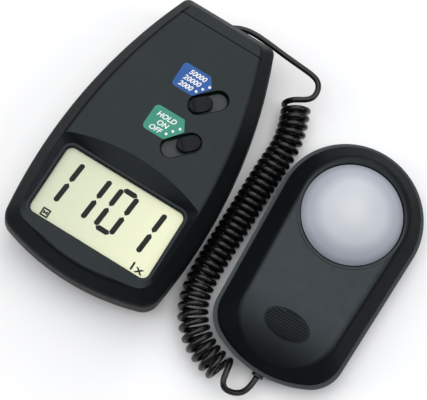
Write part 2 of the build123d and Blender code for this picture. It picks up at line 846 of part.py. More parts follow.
def grip_patch(outside):
    """Grooves of even depth between the grip's ribs, cut to its oval, and the groove round it."""
    half_length, half_width = grip_length / 2, grip_width / 2
    top = sensor_shell_height + overrun
    low = sensor_shoulder
    oval = Ellipse(half_length, half_width)
    inner = Ellipse(half_length - grip_outline, half_width - grip_outline)
    pitch = (grip_width - 2 * grip_outline) / (grip_ribs + 1)
    bars = [Pos(0, (index + 0.5) * pitch - half_width + grip_outline) * Rectangle(grip_length, grip_groove)
            for index in range(grip_ribs + 1)]
    pattern = (oval - inner) + (Sketch() + bars & inner)
    return Pos(0, grip_y, low) * extrude(pattern, top - low) - Pos(0, 0, -grip_depth) * outside


def sensor_base_shell():
    """Lower sensor shell with its rim, board posts, screw posts and the cord's hole."""
    base = sensor_draft + sensor_bevel
    outside = stack([(0, sensor_outline(base)), (sensor_bevel_height, sensor_outline(sensor_draft)),
                     (sensor_seam, sensor_outline(0))])
    inset = sensor_wall + rim_step
    cavity = stack([(sensor_wall, sensor_outline(base + sensor_wall)), (sensor_seam, sensor_outline(inset))])
    shell = outside - cavity
    lip = sensor_outline(rim_step + sensor_lip_wall) - sensor_outline(inset)
    shell = shell + Pos(0, 0, sensor_seam - sensor_wall) * extrude(lip, sensor_wall + sensor_lip_height)
    for x, y in sensor_board_screw_spots:
        shell = shell + post(sensor_post_diameter, sensor_wall / 2, sensor_board_bottom, x, y)
        shell = shell - post(board_screw_diameter, sensor_wall, sensor_board_bottom + overrun, x, y)
    recess = board_screw_head + 2 * running_clearance
    for x, y in both_sides(sensor_screw_rows):
        shell = shell + post(recess + 2 * recess_wall, sensor_wall / 2, sensor_seam, x, y)
        shell = shell - post(recess, -overrun, sensor_recess, x, y)
        shell = shell - post(board_screw_diameter + 2 * fit, 0, sensor_seam + overrun, x, y)
    return shell - sensor_exit(gland_diameter)


def diffuser_dome():
    """White dome: a cap of a sphere on a short rim, hollow inside."""
    base_z = seat_z + dome_rim_height
    half = dome_diameter / 2
    inner_half = half - dome_wall
    inner_rise = dome_rise - dome_wall
    outer_mid = half / 2
    outer_radius = (half ** 2 + dome_rise ** 2) / (2 * dome_rise)
    inner_radius = (inner_half ** 2 + inner_rise ** 2) / (2 * inner_rise)
    inner_centre = base_z + inner_rise - inner_radius
    inner_step_shares = (1.0, 0.8, 0.5, 0.25)
    inner_steps = [(inner_half * share, inner_centre + math.sqrt(inner_radius ** 2 - (inner_half * share) ** 2))
                   for share in inner_step_shares]
    outer_z = base_z + dome_rise - outer_radius + math.sqrt(outer_radius ** 2 - outer_mid ** 2)
    profile = [Line((0, base_z + inner_rise), (0, base_z + dome_rise)),
               ThreePointArc((0, base_z + dome_rise), (outer_mid, outer_z), (half, base_z)),
               Polyline((half, base_z), (half, seat_z), (inner_half, seat_z), (inner_half, base_z)),
               Polyline(*inner_steps, (0, base_z + inner_rise))]
    face = Plane.XZ * make_face(profile)
    return Pos(0, dome_y, 0) * revolve(face, Axis.Z)


def sensor_board():
    board = RectangleRounded(sensor_board_width, sensor_board_length, sensor_board_corner)
    board = Pos(0, sensor_board_y, sensor_board_bottom) * extrude(board, board_thickness)
    for x, y in sensor_board_screw_spots:
        board = board - post(board_screw_diameter + 2 * fit, 0, sensor_shell_height, x, y)
    return board


def filter_holder():
    """Black ring on the sensor's board that carries the filter over the photodiode."""
    ring = dome_post(holder_diameter, sensor_board_top, filter_bottom + filter_thickness)
    ring = ring - dome_post(filter_diameter + 2 * fit, filter_bottom, sensor_shell_height)
    return ring - dome_post(filter_diameter - 2 * filter_ledge, 0, sensor_shell_height)


def photodiode():
    """Metal can with a flange and a window in its top."""
    can = dome_post(diode_base_diameter, sensor_board_top, sensor_board_top + diode_base_height)
    can = can + dome_post(diode_diameter, sensor_board_top, sensor_board_top + diode_height)
    top = sensor_board_top + diode_height
    return can - dome_post(diode_window_diameter, top - diode_window_depth, top + overrun)


def optical_filter():
    return dome_post(filter_diameter, filter_bottom, filter_bottom + filter_thickness)


def sensor_case_screws():
    return [screw(board_screw_head, board_screw_head_height, board_screw_diameter, sensor_screw_length, x, y,
                  sensor_recess) for x, y in both_sides(sensor_screw_rows)]


def sensor_board_screws():
    """Screws down through the sensor's board into its posts."""
    flip = Pos(0, 0, sensor_board_top) * Rot(180, 0, 0)
    length = sensor_board_top - sensor_wall - running_clearance
    piece = screw(board_screw_head, board_screw_head_height, board_screw_diameter, length, 0, 0, 0)
    return [Pos(x, y, 0) * flip * piece for x, y in sensor_board_screw_spots]


def exit_frame():
    """Place in the seam where the cord leaves the meter's end wall, X turned along the cord."""
    return Pos(exit_x, meter_length / 2, seam_height) * Rot(0, 0, exit_angle)


def meter_exit(diameter):
    return exit_frame() * Rot(0, 90, 0) * Cylinder(diameter / 2, 2 * gland_length)


def meter_gland():
    """Rubber sleeve that holds the cord where it leaves the meter aslant."""
    start = gland_proud - gland_length
    middle = (gland_proud + start) / 2
    sleeve = Pos(middle, 0, 0) * Rot(0, 90, 0) * Cylinder(gland_diameter / 2, gland_length)
    flange = Pos(start - gland_flange_length / 2, 0, 0) * Rot(0, 90, 0)
    flange = flange * Cylinder(gland_flange / 2, gland_flange_length)
    return exit_frame() * (sleeve + flange)


def sensor_exit(diameter):
    wall_y = -sensor_length / 2
    return Pos(sensor_exit_x, wall_y, sensor_exit_height) * Rot(90, 0, 0) * Cylinder(diameter / 2, 2 * gland_length)


def sensor_gland():
    """Rubber sleeve in the foot of the sensor."""
    low_y = -sensor_length / 2 - gland_proud
    sleeve = Rot(90, 0, 0) * Cylinder(gland_diameter / 2, gland_length)
    flange = Rot(90, 0, 0) * Cylinder(gland_flange / 2, gland_flange_length)
    return (Pos(sensor_exit_x, low_y + gland_length / 2, sensor_exit_height) * sleeve
            + Pos(sensor_exit_x, low_y + gland_length + gland_flange_length / 2, sensor_exit_height) * flange)


# Heights of the stack inside the sensor
seat_z = sensor_shell_height - sensor_wall
sensor_board_top = sensor_board_bottom + board_thickness
filter_bottom = sensor_board_top + diode_height + running_clearance * 2
sensor_recess = sensor_wall + recess_wall
sensor_screw_top = sensor_recess + sensor_screw_length + fit


def spline_pieces(points):
    """Control points of the quadratic pieces of a curve that starts and ends at the end points."""
    knots = [points[0]] + [(a + b) / 2 for a, b in zip(points[1:], points[2:-1])] + [points[-1]]
    return list(zip(knots, points[1:-1], knots[1:]))


class MiddleLine:
    """Middle line of the curls in plan, measured along its length."""

    def __init__(self, points, steps=60):
        self.spots = []
        for a, b, c in spline_pieces([Vector(x, y, coil_height) for x, y in points]):
            for step in range(steps):
                u = step / steps
                self.spots.append(a * (1 - u) ** 2 + b * 2 * u * (1 - u) + c * u * u)
        self.spots.append(Vector(points[-1][0], points[-1][1], coil_height))
        self.marks = [0.0]
        for a, b in zip(self.spots, self.spots[1:]):
            self.marks.append(self.marks[-1] + (b - a).length)
        self.length = self.marks[-1]

    def at(self, mark):
        mark = min(max(mark, 0.0), self.length)
        low, high = 0, len(self.marks) - 1
        while high - low > 1:
            middle = (low + high) // 2
            if self.marks[middle] <= mark:
                low = middle
            else:
                high = middle
        share = (mark - self.marks[low]) / (self.marks[high] - self.marks[low])
        return self.spots[low] * (1 - share) + self.spots[high] * share

    def way(self, mark):
        near = cord_diameter / 2
        return (self.at(mark + near) - self.at(mark - near)).normalized()

    def bend(self, mark):
        near = cord_diameter
        mark = min(max(mark, 2 * near), self.length - 2 * near)
        before, after = self.way(mark - near), self.way(mark + near)
        return math.radians(before.get_angle(after)) / (2 * near)


def curl_marks(line):
    """Distances along the middle line, one for each part of a turn: even curls, wider round the bends."""
    radius = (coil_diameter - cord_diameter) / 2
    parts = 48
    marks = [0.0]
    while marks[-1] < line.length or (len(marks) - 1) % parts:
        inside = 1 - radius * line.bend(marks[-1])
        pitch = max(curl_pitch, (cord_diameter + curl_gap) / inside)
        pitch += loose_start * math.exp(-marks[-1] / loose_reach)
        pitch += loose_end * math.exp(min(marks[-1] - line.length, 0) / loose_reach)
        marks.append(marks[-1] + pitch / parts)
    reached = min(range(len(marks)), key=lambda index: abs(marks[index] - line.length))
    turns = round(reached / parts)
    marks = marks[:turns * parts + 1]
    scale = line.length / marks[-1]
    return [mark * scale for mark in marks], parts, turns


def curl_path():
    """Edges of the wound wire: it starts and ends on top of the curls, with a straight end of one diameter."""
    line = MiddleLine(coil_points)
    marks, parts, turns = curl_marks(line)
    radius = (coil_diameter - cord_diameter) / 2
    up = Vector(0, 0, 1)

    def spot(index):
        mark = marks[index]
        angle = math.pi / 2 + 2 * math.pi * index / parts
        left = up.cross(line.way(mark))
        return line.at(mark) + left * (radius * math.cos(angle)) + up * (radius * math.sin(angle))

    def way(index):
        low, high = max(index - 1, 0), min(index + 1, turns * parts)
        return (spot(high) - spot(low)).normalized()

    def level_way(index):
        ahead = way(index)
        return Vector(ahead.X, ahead.Y, 0).normalized()

    half = parts // 2
    stations = [(spot(index), way(index)) for index in range(0, turns * parts + 1, half)]
    stations[0] = (spot(0), level_way(0))
    stations[-1] = (spot(turns * parts), level_way(turns * parts))
    first, first_way = stations[0]
    last, last_way = stations[-1]
    edges = [Edge.make_line(first - first_way * cord_diameter, first)]
    for (a, a_way), (b, b_way) in zip(stations, stations[1:]):
        edges += biarc(a, a_way, b, b_way)
    edges.append(Edge.make_line(last, last + last_way * cord_diameter))
    return edges, turns


def least_gap(edges, diameter):
    """Least distance from the wire to a later part of itself, measured on points, less its diameter."""
    points, marks, total = [], [], 0.0
    for edge in edges:
        count = max(2, round(edge.length / (diameter / 6)))
        for step in range(count):
            points.append(edge @ (step / count))
            marks.append(total + edge.length * step / count)
        total += edge.length
    least = total
    reach = round(3 * coil_diameter * math.pi / (diameter / 6))
    for index, point in enumerate(points):
        for other in range(index + 1, min(index + reach, len(points))):
            if marks[other] - marks[index] > 2 * diameter:
                least = min(least, (points[other] - point).length)
    return least - diameter


def tube_through(points, name):
    """Tube of straight runs and tangent arcs, each arc as large as its two runs allow."""
    radii = []
    for before, corner, after in zip(points, points[1:], points[2:]):
        turn = math.radians((corner - before).get_angle(after - corner))
        run = min((corner - before).length, (after - corner).length)
        radii.append(0.45 * run / math.tan(turn / 2))
    path = FilletPolyline(*points, radius=radii)
    start = Plane(origin=path @ 0, x_dir=Vector(0, 0, 1).cross(path % 0), z_dir=path % 0)
    section = start * RegularPolygon(cord_diameter / 2, wire_sides, rotation=wire_turn)
    tube = sweep(section, path=path, clean=False)
    print(name, "length", round(path.length, 1), "radii", [round(r, 1) for r in radii],
          "volume over section times length", round(tube.volume / (section.area * path.length), 4))
    return tube


def cord():
    """The curls and the two free stretches, from gland to gland."""
    edges, turns = curl_path()
    curls = polygon_sweep(edges, cord_diameter, wire_sides)
    wound = sum(edge.length for edge in edges)
    print("curls", turns, "wound length", round(wound, 1), "least gap", round(least_gap(edges, cord_diameter), 2))
    first, last = edges[0] @ 0, edges[-1] @ 1
    out = exit_frame() * Pos(gland_proud, 0, 0)
    start = Vector(*out.position)
    ahead = Vector(math.cos(math.radians(exit_angle)), math.sin(math.radians(exit_angle)), 0)
    lead_in = [start, start + ahead * gland_run]
    lead_in += [Vector(*p) for p in lead_meter_points]
    lead_in += [first - edges[0] % 0 * coil_run, first]
    end_y = -sensor_setback - sensor_length / 2 - gland_proud
    end = Vector(sensor_x - meter_x + sensor_exit_x, end_y, sensor_exit_height)
    lead_out = [last, last + edges[-1] % 1 * coil_run]
    lead_out += [Vector(*p) for p in lead_sensor_points]
    lead_out += [end - Vector(0, gland_run, 0), end]
    return curls, tube_through(lead_in, "meter lead"), tube_through(lead_out, "sensor lead")


def wire_through(points):
    """Thin insulated wire of straight runs and tangent arcs."""
    path = FilletPolyline(*points, radius=wire_bend)
    section = Plane(origin=path @ 0, z_dir=path % 0) * RegularPolygon(wire_diameter / 2, 6)
    return sweep(section, path=path, clean=False)


def battery_leads():
    """One wire from each battery contact, out through the bay's end wall and up to the board."""
    leads = []
    for side in (-1, 1):
        inner = Vector(side * bay_length / 2, battery_y, battery_z)
        corner = Vector(side * (bay_length / 2 + bay_wall + 2 * wire_bend), battery_y, battery_z)
        leads.append(wire_through([inner, corner, Vector(corner.X, corner.Y, board_bottom)]))
    return leads


def signal_leads():
    """Two wires from the cord's gland in the meter to the board."""
    back = gland_proud - gland_length - gland_flange_length
    inner = exit_frame() * Pos(back, 0, 0)
    start = Vector(*inner.position)
    ahead = Vector(math.cos(math.radians(exit_angle)), math.sin(math.radians(exit_angle)), 0)
    leads = []
    for side in (-1, 1):
        aside = side * wire_diameter * 0.75
        first = start + Vector(0, 0, aside)
        corner = first - ahead * 2.2 * wire_bend
        below = Vector(corner.X, signal_y + aside, corner.Z)
        leads.append(wire_through([first, corner, below, Vector(below.X, below.Y, board_bottom)]))
    return leads


def sensor_leads():
    """Two wires from the sensor's gland to its board."""
    start_y = gland_length + gland_flange_length - gland_proud - sensor_length / 2
    leads = []
    for side in (-1, 1):
        x = sensor_exit_x + side * wire_diameter * 0.75
        corner = Vector(x, sensor_lead_y, sensor_exit_height)
        start = Vector(x, start_y, sensor_exit_height)
        leads.append(wire_through([start, corner, Vector(x, sensor_lead_y, sensor_board_bottom)]))
    return leads


def build_nodes():
    rest, full = -switch_travel / 2, switch_travel / 2
    curls, lead_in, lead_out = cord()
    in_meter = {
        "front_case": front_case(),
        "rear_case": rear_case(),
        "lcd_window": lcd_window(),
        "lcd_glass": lcd_glass(),
        "lcd_bezel": lcd_bezel(),
        "zebra_strips": zebra_strips(),
        "main_board": main_board(),
        "range_switch_case": switch_case(range_y),
        "power_switch_case": switch_case(power_y),
        "range_slider": slider(range_y, rest),
        "range_shield": shield(range_y, rest),
        "range_knob": knob(range_y, rest),
        "power_slider": slider(power_y, full),
        "power_shield": shield(power_y, full),
        "power_knob": knob(power_y, full),
        "driver_chip": driver_chip(),
        "trimmers": trimmers(),
        "capacitors": capacitors(),
        "board_screws": board_screws(),
        "case_screws": case_screws(),
        "battery": battery(),
        "contact_plate": contact_plate(),
        "contact_spring": contact_spring(),
        "battery_door": battery_door(),
        "battery_leads": battery_leads(),
        "signal_leads": signal_leads(),
        "meter_gland": meter_gland(),
        "cord_curls": curls,
        "cord_lead_meter": lead_in,
        "cord_lead_sensor": lead_out,
    }
    in_sensor = {
        "sensor_top_shell": sensor_top_shell(),
        "sensor_base_shell": sensor_base_shell(),
        "diffuser_dome": diffuser_dome(),
        "optical_filter": optical_filter(),
        "filter_holder": filter_holder(),
        "photodiode": photodiode(),
        "sensor_board": sensor_board(),
        "sensor_board_screws": sensor_board_screws(),
        "sensor_case_screws": sensor_case_screws(),
        "sensor_gland": sensor_gland(),
        "sensor_leads": sensor_leads(),
    }
    placed = [(name, meter_place, piece) for name, piece in in_meter.items()]
    return placed + [(name, sensor_place, piece) for name, piece in in_sensor.items()]


def main():
    os.makedirs("parts", exist_ok=True)
    for name, place, piece in build_nodes():
        pieces = piece if isinstance(piece, list) else [piece]
        solids = [solid for one in pieces for solid in (place * one).solids()]
        node = solids[0] if len(solids) == 1 else Compound(solids)
        export_step(node, "parts/" + name + ".step")
        print(name, len(solids))


main()
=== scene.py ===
import bpy
import math
from mathutils import Matrix, Vector


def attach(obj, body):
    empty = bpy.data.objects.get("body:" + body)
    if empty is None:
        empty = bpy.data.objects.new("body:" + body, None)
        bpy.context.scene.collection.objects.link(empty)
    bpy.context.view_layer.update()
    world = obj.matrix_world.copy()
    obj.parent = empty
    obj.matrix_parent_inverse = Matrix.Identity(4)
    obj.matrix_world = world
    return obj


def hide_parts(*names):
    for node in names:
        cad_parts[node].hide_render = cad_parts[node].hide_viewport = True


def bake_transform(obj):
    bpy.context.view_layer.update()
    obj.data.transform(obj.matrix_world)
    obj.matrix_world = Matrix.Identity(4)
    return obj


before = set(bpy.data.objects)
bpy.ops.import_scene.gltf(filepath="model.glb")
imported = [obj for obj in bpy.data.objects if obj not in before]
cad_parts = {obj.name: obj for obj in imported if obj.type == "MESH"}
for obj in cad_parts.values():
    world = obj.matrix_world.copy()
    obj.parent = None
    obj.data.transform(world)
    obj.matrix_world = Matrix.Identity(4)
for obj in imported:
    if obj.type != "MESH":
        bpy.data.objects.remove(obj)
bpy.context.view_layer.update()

# Places in millimetres, and metres in the scene
MM = 0.001
METER_X = -35.65
SENSOR_X = 41.55
SENSOR_Y = -0.2
DOME_Y = SENSOR_Y + 18.7
DOME_RADIUS = 19.4
GRIP_Y = SENSOR_Y - 29.9
GRIP_HALF_LENGTH, GRIP_HALF_WIDTH = 9.2, 5.4
PANEL_Z = 29.0
GLASS_Z = 25.0
WINDOW_Y = -30.8
DISPLAY_HALF = 27


def at_meter(x, y, z):
    """A point given from the meter's middle, in millimetres, in the shared frame in metres."""
    return Vector((x + METER_X, y, z)) * MM


# ---------------------------------------------------------------- materials
def new_material(name):
    material = bpy.data.materials.new(name)
    material.use_nodes = True
    tree = material.node_tree
    return material, tree, tree.nodes["Principled BSDF"]


def link(tree, source, output, target, socket):
    tree.links.new(source.outputs[output], target.inputs[socket])


def place_in_mm(tree):
    """Surface position in millimetres, for patterns that stay on the object."""
    where = tree.nodes.new("ShaderNodeTexCoord")
    scale = tree.nodes.new("ShaderNodeVectorMath")
    scale.operation = "SCALE"
    scale.inputs["Scale"].default_value = 1 / MM
    link(tree, where, "Object", scale, "Vector")
    return scale


def noise(tree, place, per_mm, detail=2.0, roughness=0.5):
    node = tree.nodes.new("ShaderNodeTexNoise")
    node.inputs["Scale"].default_value = per_mm
    node.inputs["Detail"].default_value = detail
    node.inputs["Roughness"].default_value = roughness
    link(tree, place, "Vector", node, "Vector")
    return node


def ramp(tree, source, output, low, high, first, second):
    """Colour ramp of two stops, fed by a value."""
    node = tree.nodes.new("ShaderNodeValToRGB")
    node.color_ramp.elements[0].position = low
    node.color_ramp.elements[1].position = high
    node.color_ramp.elements[0].color = (*first, 1)
    node.color_ramp.elements[1].color = (*second, 1)
    link(tree, source, output, node, "Fac")
    return node


def spread(tree, source, output, low, high, start=0.3, end=0.7):
    """A value moved from one range, else the middle of a noise, to another."""
    node = tree.nodes.new("ShaderNodeMapRange")
    node.inputs["From Min"].default_value = start
    node.inputs["From Max"].default_value = end
    node.inputs["To Min"].default_value = low
    node.inputs["To Max"].default_value = high
    link(tree, source, output, node, "Value")
    return node


def vector_math(tree, operation, source, output, second=None):
    node = tree.nodes.new("ShaderNodeVectorMath")
    node.operation = operation
    link(tree, source, output, node, "Vector")
    if second is not None:
        node.inputs[1].default_value = second
    return node


def relief(tree, shader, place, per_mm, detail, roughness, strength, depth):
    """Fine noise as relief, its depth in millimetres."""
    fine = noise(tree, place, per_mm, detail, roughness)
    node = tree.nodes.new("ShaderNodeBump")
    node.inputs["Strength"].default_value = strength
    node.inputs["Distance"].default_value = depth * MM
    link(tree, fine, "Fac", node, "Height")
    link(tree, node, "Normal", shader, "Normal")


def shade(colour, share):
    return tuple(min(c * share, 1.0) for c in colour)


# How far a face turns from the flat before its gloss starts to fall as painted shade, and where the fall
# ends
STEEP_START, STEEP_FALL = 0.01, 0.21


def surface(name, colour, roughness, grain=1.6, bump=0.0, mottle=0.08, patches=0.05, metallic=0.0,
            specular=0.5, steep=None, toward=(0, 0, 1), gloss_tint=(1, 1, 1)):
    """Moulded or metal surface: fine grain in its relief, slow changes in colour and gloss.

    With steep, its gloss falls to that level where it turns away from the direction toward, as painted shade
    on faces turned from the light.
    """
    material, tree, shader = new_material(name)
    shader.inputs["Metallic"].default_value = metallic
    shader.inputs["Specular IOR Level"].default_value = specular
    shader.inputs["Specular Tint"].default_value = (*gloss_tint, 1)
    place = place_in_mm(tree)
    slow = noise(tree, place, patches, 3.0)
    tint = ramp(tree, slow, "Fac", 0.35, 0.65, shade(colour, 1 - mottle), shade(colour, 1 + mottle))
    link(tree, tint, "Color", shader, "Base Color")
    gloss = noise(tree, place, patches * 6, 4.0, 0.6)
    rough = spread(tree, gloss, "Fac", roughness * 0.9, roughness * 1.12)
    link(tree, rough, "Result", shader, "Roughness")
    if steep is not None:
        facing = tree.nodes.new("ShaderNodeNewGeometry")
        way = Vector(toward).normalized()
        turned = vector_math(tree, "DOT_PRODUCT", facing, "Normal", way)
        either = tree.nodes.new("ShaderNodeMath")
        either.operation = "ABSOLUTE"
        link(tree, turned, "Value", either, "Value")
        shine = spread(tree, either, "Value", steep, specular, way.z - STEEP_FALL, way.z - STEEP_START)
        link(tree, shine, "Result", shader, "Specular IOR Level")
    if bump:
        relief(tree, shader, place, grain, 3.0, 0.6, bump, 0.06)
    return material


CASE = (0.0066, 0.008, 0.009)
COOL = (0.8, 0.94, 1.0)
# The meter's case and the sensor's top lose gloss on faces turned from the light: painted shade.
case_plastic = surface("case_plastic", CASE, 0.42, grain=3.2, bump=0.3, mottle=0.07, specular=0.3,
                       steep=0.05, toward=(0.1, 0.24, 1), gloss_tint=COOL)
head_plastic = surface("head_plastic", CASE, 0.42, grain=3.2, bump=0.3, mottle=0.07, specular=0.46,
                       steep=0.05, toward=(0, 0.08, 1), gloss_tint=COOL)
base_plastic = surface("base_plastic", (0.03, 0.033, 0.036), 0.4, grain=3.2, bump=0.3, mottle=0.07,
                       specular=0.35, gloss_tint=COOL)
door_plastic = surface("door_plastic", shade(CASE, 0.95), 0.44, grain=3.2, bump=0.3, specular=0.3,
                       gloss_tint=COOL)
knob_plastic = surface("knob_plastic", (0.009, 0.0105, 0.013), 0.36, grain=2.0, bump=0.12, specular=0.1)
shield_plastic = surface("shield_plastic", (0.05, 0.055, 0.062), 0.5, grain=2.4, bump=0.2, specular=0.2)
cord_jacket = surface("cord_jacket", (0.004, 0.0043, 0.0052), 0.27, grain=1.2, bump=0.12, mottle=0.12,
                      patches=0.2, specular=0.4)
white_plastic = surface("white_plastic", (0.75, 0.75, 0.73), 0.5, bump=0.1)
black_plastic = surface("black_plastic", (0.018, 0.018, 0.02), 0.4, bump=0.1)
blue_plastic = surface("blue_plastic", (0.03, 0.12, 0.4), 0.35, bump=0.05)
contact_rubber = surface("contact_rubber", (0.42, 0.3, 0.3), 0.6, bump=0.2)
red_jacket = surface("red_jacket", (0.38, 0.03, 0.025), 0.4, bump=0.05)
screw_steel = surface("screw_steel", (0.5, 0.5, 0.52), 0.34, grain=4.0, bump=0.1, mottle=0.15, patches=0.4,
                      metallic=1.0)
contact_steel = surface("contact_steel", (0.62, 0.61, 0.58), 0.25, grain=5.0, bump=0.05, metallic=1.0)
can_metal = surface("can_metal", (0.66, 0.65, 0.62), 0.28, grain=5.0, bump=0.05, metallic=1.0)
battery_jacket = surface("battery_jacket", (0.05, 0.06, 0.09), 0.3, bump=0.05, metallic=0.4)
board_green = surface("board_green", (0.02, 0.16, 0.055), 0.35, grain=1.0, bump=0.1, mottle=0.2, patches=0.3)
label_white = surface("label_white", (0.86, 0.87, 0.87), 0.5, mottle=0.02)
label_blue = surface("label_blue", (0.033, 0.108, 0.335), 0.5, specular=0.15, mottle=0.08, patches=0.15)
label_green = surface("label_green", (0.055, 0.285, 0.195), 0.5, specular=0.15, mottle=0.08, patches=0.15)
segment_ink = surface("segment_ink", (0.016, 0.018, 0.017), 0.6, specular=0.1, mottle=0.15, patches=0.4)


def from_middle(tree, place, x, y):
    """Place on the object counted from a middle of its own."""
    return vector_math(tree, "SUBTRACT", place, "Vector", (x, y, 0))


def reach(tree, middle, half_length, half_width):
    """Share of the way from the middle of an oval to its edge, seen from above."""
    oval = vector_math(tree, "MULTIPLY", middle, "Vector", (1 / half_length, 1 / half_width, 0))
    return vector_math(tree, "LENGTH", oval, "Vector")


def shade_head_gloss(material):
    """Painted shade: the sensor's oval ribs shine less than its smooth top, and the top shines less towards
    both ends.
    """
    tree = material.node_tree
    shader = tree.nodes["Principled BSDF"]
    shine = shader.inputs["Specular IOR Level"].links[0].from_socket
    middle = from_middle(tree, place_in_mm(tree), SENSOR_X, GRIP_Y)
    axes = tree.nodes.new("ShaderNodeSeparateXYZ")
    link(tree, middle, "Vector", axes, "Vector")
    share_of_oval = reach(tree, middle, GRIP_HALF_LENGTH, GRIP_HALF_WIDTH)
    ribs = spread(tree, share_of_oval, "Value", 0.48, 1.0, 0.92, 1.04)
    nose = spread(tree, axes, "Y", 0.32, 1.0, -17.0, 9.0)
    far_end = spread(tree, axes, "Y", 1.0, 0.45, 46.0, 66.0)
    for share in (ribs, nose, far_end):
        product = tree.nodes.new("ShaderNodeMath")
        product.operation = "MULTIPLY"
        tree.links.new(shine, product.inputs[0])
        tree.links.new(share.outputs["Result"], product.inputs[1])
        shine = product.outputs["Value"]
    tree.links.new(shine, shader.inputs["Specular IOR Level"])


def dome_material():
    """White plastic that lets light through, with painted shade: bright over the middle, dimmer to the dark
    seat round it.
    """
    material, tree, shader = new_material("dome_plastic")
    place = place_in_mm(tree)
    middle = from_middle(tree, place, SENSOR_X, DOME_Y)
    share = reach(tree, middle, DOME_RADIUS, DOME_RADIUS)
    tint = ramp(tree, share, "Value", 0.0, 1.0, (0.62, 0.64, 0.66), (0.27, 0.29, 0.345))
    for spot, colour in ((0.55, (0.55, 0.575, 0.615)), (0.85, (0.395, 0.42, 0.475))):
        tint.color_ramp.elements.new(spot).color = (*colour, 1)
    tint.color_ramp.interpolation = "EASE"
    link(tree, tint, "Color", shader, "Base Color")
    shader.inputs["Subsurface Weight"].default_value = 0.35
    shader.inputs["Subsurface Radius"].default_value = (1.0, 1.0, 1.1)
    shader.inputs["Subsurface Scale"].default_value = 2.5 * MM
    shader.inputs["Roughness"].default_value = 0.38
    shader.inputs["Specular IOR Level"].default_value = 0.4
    relief(tree, shader, place, 2.0, 2.0, 0.5, 0.08, 0.03)
    return material


def display_material():
    """Grey-green display, lighter and a little yellower to its right: painted light across its face."""
    material, tree, shader = new_material("display_face")
    place = place_in_mm(tree)
    axes = tree.nodes.new("ShaderNodeSeparateXYZ")
    link(tree, place, "Vector", axes, "Vector")
    share = spread(tree, axes, "X", 0.0, 1.0, METER_X - DISPLAY_HALF, METER_X + DISPLAY_HALF)
    tint = ramp(tree, share, "Result", 0.0, 1.0, (0.675, 0.73, 0.545), (0.965, 0.985, 0.685))
    link(tree, tint, "Color", shader, "Base Color")
    shader.inputs["Roughness"].default_value = 0.5
    shader.inputs["Specular IOR Level"].default_value = 0.25
    return material


def window_material():
    """Clear acrylic window over the display."""
    material, tree, shader = new_material("window_clear")
    place = place_in_mm(tree)
    slow = noise(tree, place, 0.08, 2.0)
    rough = spread(tree, slow, "Fac", 0.08, 0.16)
    link(tree, rough, "Result", shader, "Roughness")
    shader.inputs["Base Color"].default_value = (0.12, 0.13, 0.12, 1)
    shader.inputs["Specular IOR Level"].default_value = 0.04
    shader.inputs["Alpha"].default_value = 0.03
    material.blend_method = "BLEND"
    return material


def filter_material():
    """Green glass of the filter under the dome."""
    material, tree, shader = new_material("filter_glass")
    place = place_in_mm(tree)
    slow = noise(tree, place, 0.2, 2.0)
    tint = ramp(tree, slow, "Fac", 0.3, 0.7, (0.16, 0.42, 0.27), (0.2, 0.48, 0.32))
    link(tree, tint, "Color", shader, "Base Color")
    shader.inputs["Roughness"].default_value = 0.1
    return material


# Painted shade on the sensor's ribs and ends, through less gloss there.
shade_head_gloss(head_plastic)
dome_plastic = dome_material()
display_face = display_material()
window_clear = window_material()
filter_glass = filter_material()

NODE_MATERIALS = {
    "front_case": case_plastic, "rear_case": case_plastic, "battery_door": door_plastic,
    "lcd_window": window_clear, "lcd_glass": display_face, "lcd_bezel": white_plastic,
    "zebra_strips": contact_rubber, "main_board": board_green, "sensor_board": board_green,
    # The switch cases are black plastic, which also paints shade into the gaps round the knobs.
    "range_switch_case": black_plastic, "power_switch_case": black_plastic, "driver_chip": black_plastic,
    "trimmers": blue_plastic, "capacitors": black_plastic, "board_screws": screw_steel,
    "case_screws": screw_steel, "sensor_board_screws": screw_steel, "sensor_case_screws": screw_steel,
    "battery": battery_jacket, "contact_plate": contact_steel, "contact_spring": contact_steel,
    "battery_leads": red_jacket, "signal_leads": red_jacket, "sensor_leads": red_jacket,
    "meter_gland": cord_jacket, "sensor_gland": cord_jacket, "cord_curls": cord_jacket,
    "cord_lead_meter": cord_jacket, "cord_lead_sensor": cord_jacket, "range_slider": black_plastic,
    "power_slider": black_plastic, "range_shield": shield_plastic, "power_shield": shield_plastic,
    "range_knob": knob_plastic, "power_knob": knob_plastic, "sensor_top_shell": head_plastic,
    "sensor_base_shell": base_plastic, "diffuser_dome": dome_plastic, "optical_filter": filter_glass,
    "filter_holder": black_plastic, "photodiode": can_metal,
}
for node_name, material in NODE_MATERIALS.items():
    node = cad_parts[node_name]
    node.data.materials.clear()
    node.data.materials.append(material)


# ---------------------------------------------------------------- mesh pieces
def piece(name, points, faces, material, body, slot, smooth=False):
    """Mesh object that rides on a body, or on none yet."""
    mesh = bpy.data.meshes.new(name)
    mesh.from_pydata([tuple(p) for p in points], [], faces)
    mesh.update()
    mesh.materials.append(material)
    if smooth:
        mesh.polygons.foreach_set("use_smooth", [True] * len(mesh.polygons))
    made = bpy.data.objects.new(name, mesh)
    bpy.context.scene.collection.objects.link(made)
    if body:
        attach(made, body)
    return made


def slab(outline, low, high):
    """Points and faces of a thin slab on a closed outline in metres, counter-clockwise seen from above."""
    count = len(outline)
    points = [Vector((p[0], p[1], low)) for p in outline] + [Vector((p[0], p[1], high)) for p in outline]
    faces = [tuple(range(count - 1, -1, -1)), tuple(range(count, 2 * count))]
    faces += [(i, (i + 1) % count, count + (i + 1) % count, count + i) for i in range(count)]
    return points, faces


def join(parts):
    """Points and faces of several parts as one."""
    points, faces = [], []
    for some_points, some_faces in parts:
        start = len(points)
        points += some_points
        faces += [tuple(i + start for i in face) for face in some_faces]
    return points, faces


